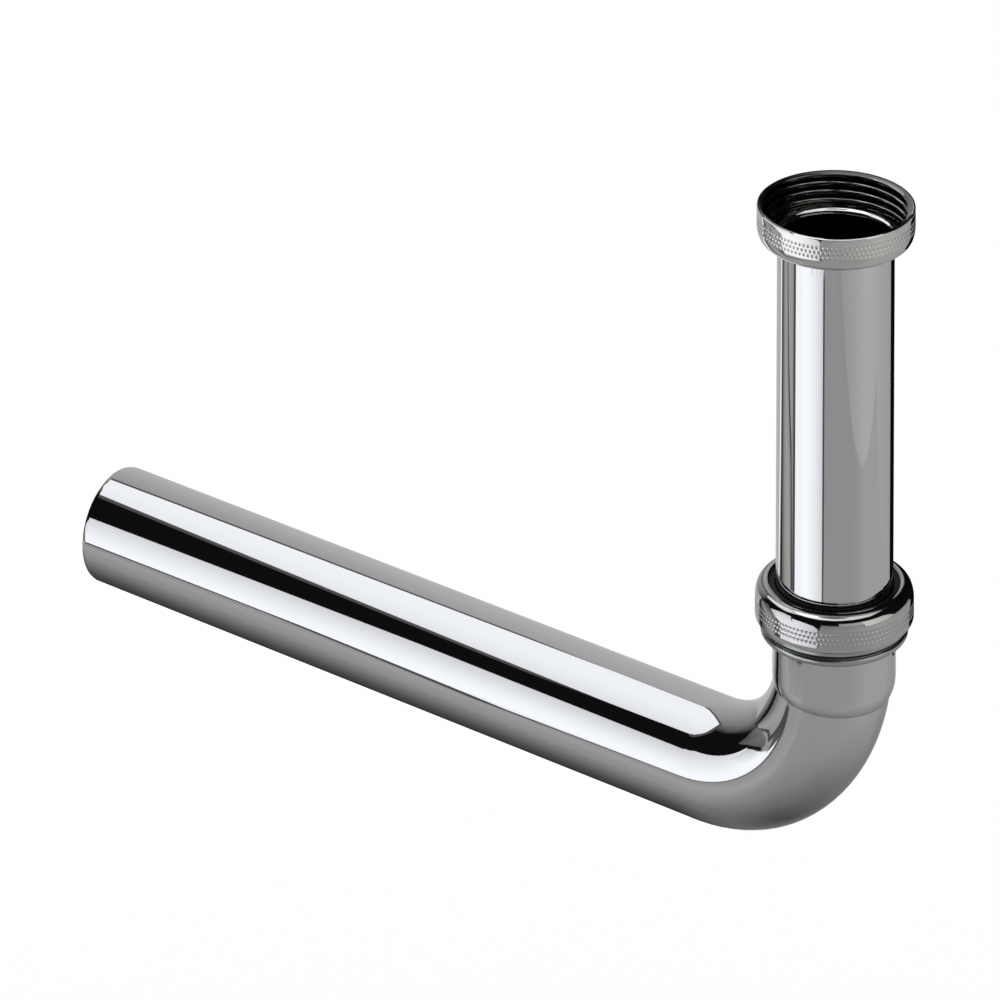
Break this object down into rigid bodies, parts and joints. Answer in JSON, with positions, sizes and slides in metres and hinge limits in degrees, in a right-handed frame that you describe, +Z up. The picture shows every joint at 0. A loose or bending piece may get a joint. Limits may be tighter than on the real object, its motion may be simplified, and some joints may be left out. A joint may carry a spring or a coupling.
{
  "type": "waste pipe bend",
  "caption": "Chromed outlet bend for a basin trap: an upright flanged tube with a union nut slides in the socket of a long bent tube and is clamped there by a second nut.",
  "frame": {"origin": "centre of the inlet's sealing face, the top of the upright tube's flange inside the upper nut", "axes": "+Z up the upright tube, out of the upper nut's mouth; the outlet leg runs along -X; Y is across"},
  "size_m": [0.2776, 0.0432, 0.179],
  "materials": {
    "chrome_tube": "bright chrome plate on brass",
    "chrome_nut": "chrome plate on a turned and knurled brass nut",
    "rubber": "matt black rubber",
    "slip_plastic": "smooth black plastic"
  },
  "bodies": {
    "bend": {"bend_tube": "chrome_tube", "threaded_collar": "chrome_nut", "cone_seal": "rubber"},
    "slip_ring": {"slip_ring": "slip_plastic"},
    "lower_nut": {"lower_nut": "chrome_nut"},
    "upper_tube": {"upper_tube": "chrome_tube"},
    "upper_nut": {"upper_nut": "chrome_nut"}
  },
  "joints": [
    {"name": "height_slide", "type": "slide", "parent": "bend", "child": "upper_tube", "axis": [0, 0, 1], "range_m": [-0.0045, 0.009]},
    {"name": "upper_nut_turn", "type": "hinge", "parent": "upper_tube", "child": "upper_nut", "pos_m": [0, 0, 0], "axis": [0, 0, 1], "continuous": true},
    {"name": "lower_nut_travel", "type": "slide", "parent": "bend", "child": "slip_ring", "axis": [0, 0, 1], "range_m": [0, 0.0058]},
    {"name": "lower_nut_turn", "type": "hinge", "parent": "slip_ring", "child": "lower_nut", "pos_m": [0, 0, -0.1], "axis": [0, 0, 1], "range_deg": [0, 900]}
  ],
  "couplings": [
    {"joint": "lower_nut_travel", "follows": "lower_nut_turn", "m_per_rad": 0.0003675}
  ]
}
